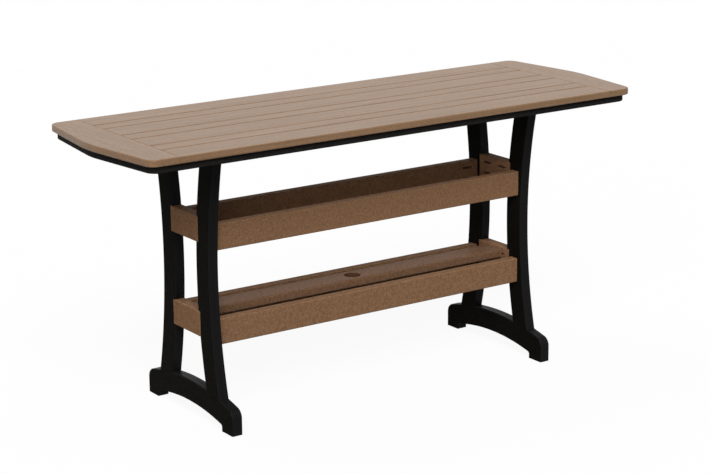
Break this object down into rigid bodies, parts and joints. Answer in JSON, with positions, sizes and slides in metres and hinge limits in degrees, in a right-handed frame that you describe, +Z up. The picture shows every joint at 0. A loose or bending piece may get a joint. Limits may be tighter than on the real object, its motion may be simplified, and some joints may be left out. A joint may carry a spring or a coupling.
{
  "type": "dining table",
  "caption": "Bar-height trestle dining table: slatted plank top with V ends, curved legs on arched feet, two tiers of stretcher boards and an umbrella hole with a lift-out plug.",
  "frame": {"origin": "on the floor under the middle of the table", "axes": "+X along the length, +Y across the width towards the rear long side, +Z up"},
  "size_m": [2.1406, 0.725, 1.035],
  "materials": {
    "brown_lumber": "matte",
    "black_lumber": "matte",
    "steel": "satin"
  },
  "bodies": {
    "table": {"batten_left": "black_lumber", "batten_middle_left": "black_lumber", "batten_middle_right": "black_lumber", "batten_right": "black_lumber", "breadboard_left": "brown_lumber", "breadboard_right": "brown_lumber", "end_board_lower_left": "brown_lumber", "end_board_lower_right": "brown_lumber", "end_board_upper_left": "brown_lumber", "end_board_upper_right": "brown_lumber", "foot_left_inner": "black_lumber", "foot_left_outer": "black_lumber", "foot_right_inner": "black_lumber", "foot_right_outer": "black_lumber", "leg_front_left_inner": "black_lumber", "leg_front_left_outer": "black_lumber", "leg_front_right_inner": "black_lumber", "leg_front_right_outer": "black_lumber", "leg_rear_left_inner": "black_lumber", "leg_rear_left_outer": "black_lumber", "leg_rear_right_inner": "black_lumber", "leg_rear_right_outer": "black_lumber", "leg_screws": "steel", "long_board_lower_front": "brown_lumber", "long_board_lower_rear": "brown_lumber", "long_board_upper_front": "brown_lumber", "long_board_upper_rear": "brown_lumber", "plank_front_inner": "brown_lumber", "plank_front_outer": "brown_lumber", "plank_rear_inner": "brown_lumber", "plank_rear_outer": "brown_lumber", "pocket_screws": "steel", "rail_front": "black_lumber", "rail_left": "black_lumber", "rail_rear": "black_lumber", "rail_right": "black_lumber", "shelf_board": "brown_lumber", "strip_front": "brown_lumber", "strip_middle": "brown_lumber", "strip_rear": "brown_lumber", "top_screws": "steel"},
    "plug": {"umbrella_plug": "brown_lumber"}
  },
  "joints": [
    {"name": "plug_lift", "type": "slide", "parent": "table", "child": "plug", "axis": [0, 0, 1], "range_m": [0, 0.05]}
  ]
}
